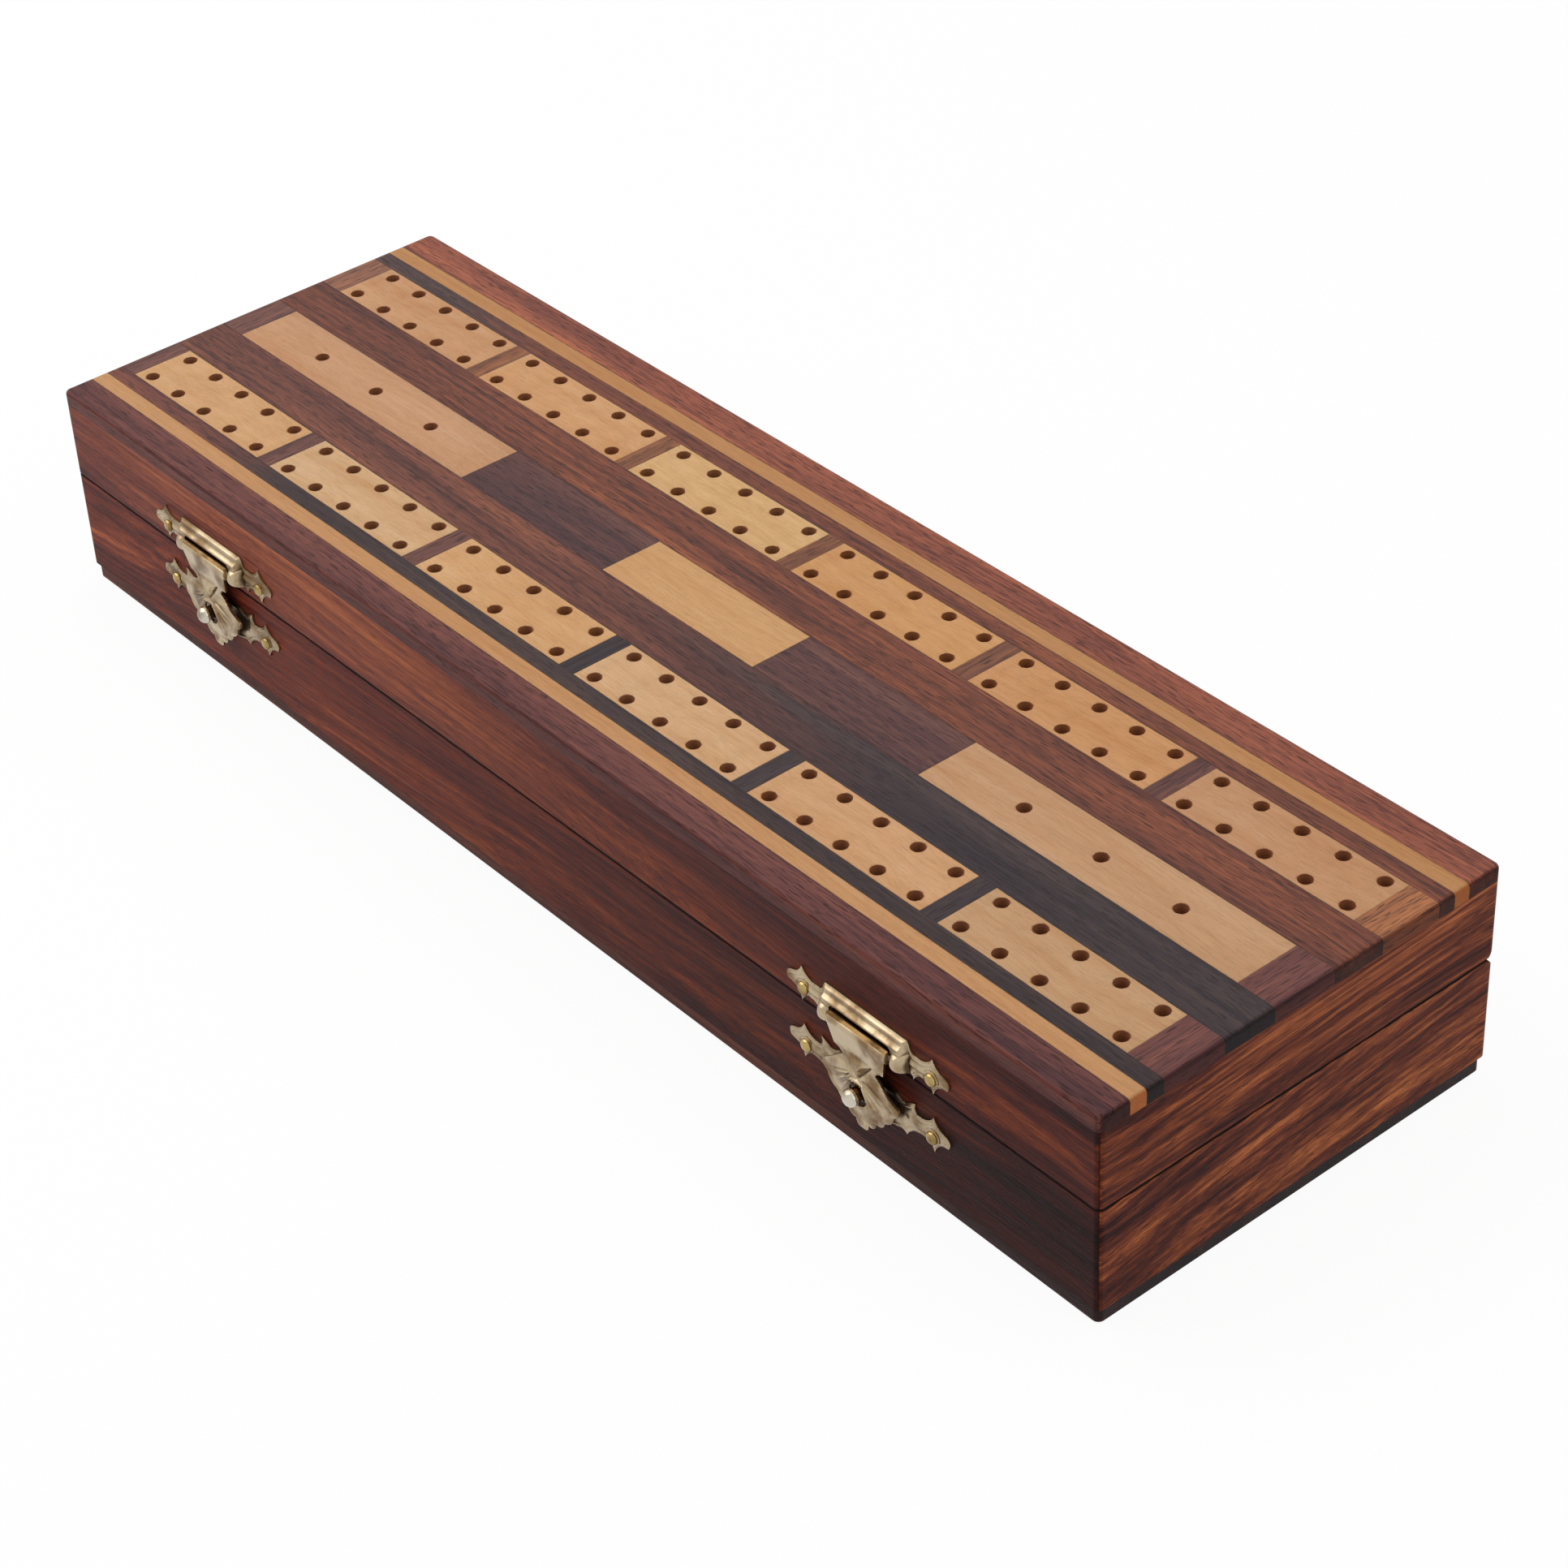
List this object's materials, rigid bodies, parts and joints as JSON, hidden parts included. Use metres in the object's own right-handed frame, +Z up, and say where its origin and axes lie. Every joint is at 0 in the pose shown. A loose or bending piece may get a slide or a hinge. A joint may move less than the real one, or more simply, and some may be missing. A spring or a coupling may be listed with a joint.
{
  "type": "cribbage box",
  "caption": "Shallow rectangular wooden game box with a hinged lid; the inlaid lid top is a pegging board, and stamped brass hasps close the front.",
  "frame": {"origin": "on the underside, in the middle of the length and of the wooden case's width", "axes": "+X along the length, towards the box's right when its latched front is faced; the latched front looks towards -Y; +Z up"},
  "size_m": [0.305, 0.0992, 0.0459],
  "materials": {
    "long_board_wood": "satin",
    "end_board_wood": "satin",
    "panel_wood": "satin",
    "divider_wood": "satin",
    "front_border_wood": "satin",
    "back_border_wood": "satin",
    "maple_line": "satin",
    "maple_block": "satin",
    "ebony_line": "satin",
    "dark_line_wood": "satin",
    "front_wide_wood": "satin",
    "back_wide_wood": "satin",
    "front_spacer_wood": "satin",
    "back_spacer_wood": "satin",
    "filler_wood": "satin",
    "end_cap_wood": "satin",
    "hinge_brass": "satin",
    "hinge_nail_brass": "polished",
    "pin_steel": "satin",
    "nail_brass": "polished",
    "stud_metal": "polished",
    "latch_brass": "satin"
  },
  "bodies": {
    "base": {"base_back_board": "long_board_wood", "base_front_board": "long_board_wood", "base_left_board": "end_board_wood", "base_right_board": "end_board_wood", "bottom_panel": "panel_wood", "hinge_base_nails": "hinge_nail_brass", "hinge_pins": "pin_steel", "latch_base_nails": "nail_brass", "left_divider": "divider_wood", "left_hinge_base_leaf": "hinge_brass", "left_latch_base_plate": "latch_brass", "left_latch_stud": "stud_metal", "right_divider": "divider_wood", "right_hinge_base_leaf": "hinge_brass", "right_latch_base_plate": "latch_brass", "right_latch_stud": "stud_metal"},
    "lid": {"back_border_strip": "back_border_wood", "back_dark_line": "dark_line_wood", "back_maple_line": "maple_line", "back_track_block_1": "maple_block", "back_track_block_2": "maple_block", "back_track_block_3": "maple_block", "back_track_block_4": "maple_block", "back_track_block_5": "maple_block", "back_track_block_6": "maple_block", "back_track_spacers": "back_spacer_wood", "back_wide_strip": "back_wide_wood", "centre_left_filler": "filler_wood", "centre_left_peg_block": "maple_block", "centre_plain_block": "maple_block", "centre_right_filler": "filler_wood", "centre_right_peg_block": "maple_block", "front_border_strip": "front_border_wood", "front_ebony_line": "ebony_line", "front_maple_line": "maple_line", "front_track_block_1": "maple_block", "front_track_block_2": "maple_block", "front_track_block_3": "maple_block", "front_track_block_4": "maple_block", "front_track_block_5": "maple_block", "front_track_block_6": "maple_block", "front_track_spacers": "front_spacer_wood", "front_wide_strip": "front_wide_wood", "hinge_lid_nails": "hinge_nail_brass", "latch_lid_nails": "nail_brass", "latch_pins": "pin_steel", "left_end_caps": "end_cap_wood", "left_hinge_lid_leaf": "hinge_brass", "left_latch_lid_plate": "latch_brass", "lid_back_board": "long_board_wood", "lid_front_board": "long_board_wood", "lid_left_board": "end_board_wood", "lid_right_board": "end_board_wood", "right_end_caps": "end_cap_wood", "right_hinge_lid_leaf": "hinge_brass", "right_latch_lid_plate": "latch_brass"},
    "left_hasp": {"left_latch_hasp": "latch_brass"},
    "right_hasp": {"right_latch_hasp": "latch_brass"}
  },
  "joints": [
    {"name": "lid_hinge", "type": "hinge", "parent": "base", "child": "lid", "pos_m": [0, 0.04495, 0.026], "axis": [-1, 0, 0], "range_deg": [0, 100]},
    {"name": "left_hasp_hinge", "type": "hinge", "parent": "lid", "child": "left_hasp", "pos_m": [-0.0998, -0.04845, 0.0302], "axis": [-1, 0, 0], "range_deg": [0, 100]},
    {"name": "right_hasp_hinge", "type": "hinge", "parent": "lid", "child": "right_hasp", "pos_m": [0.0972, -0.04845, 0.0292], "axis": [-1, 0, 0], "range_deg": [0, 100]}
  ]
}
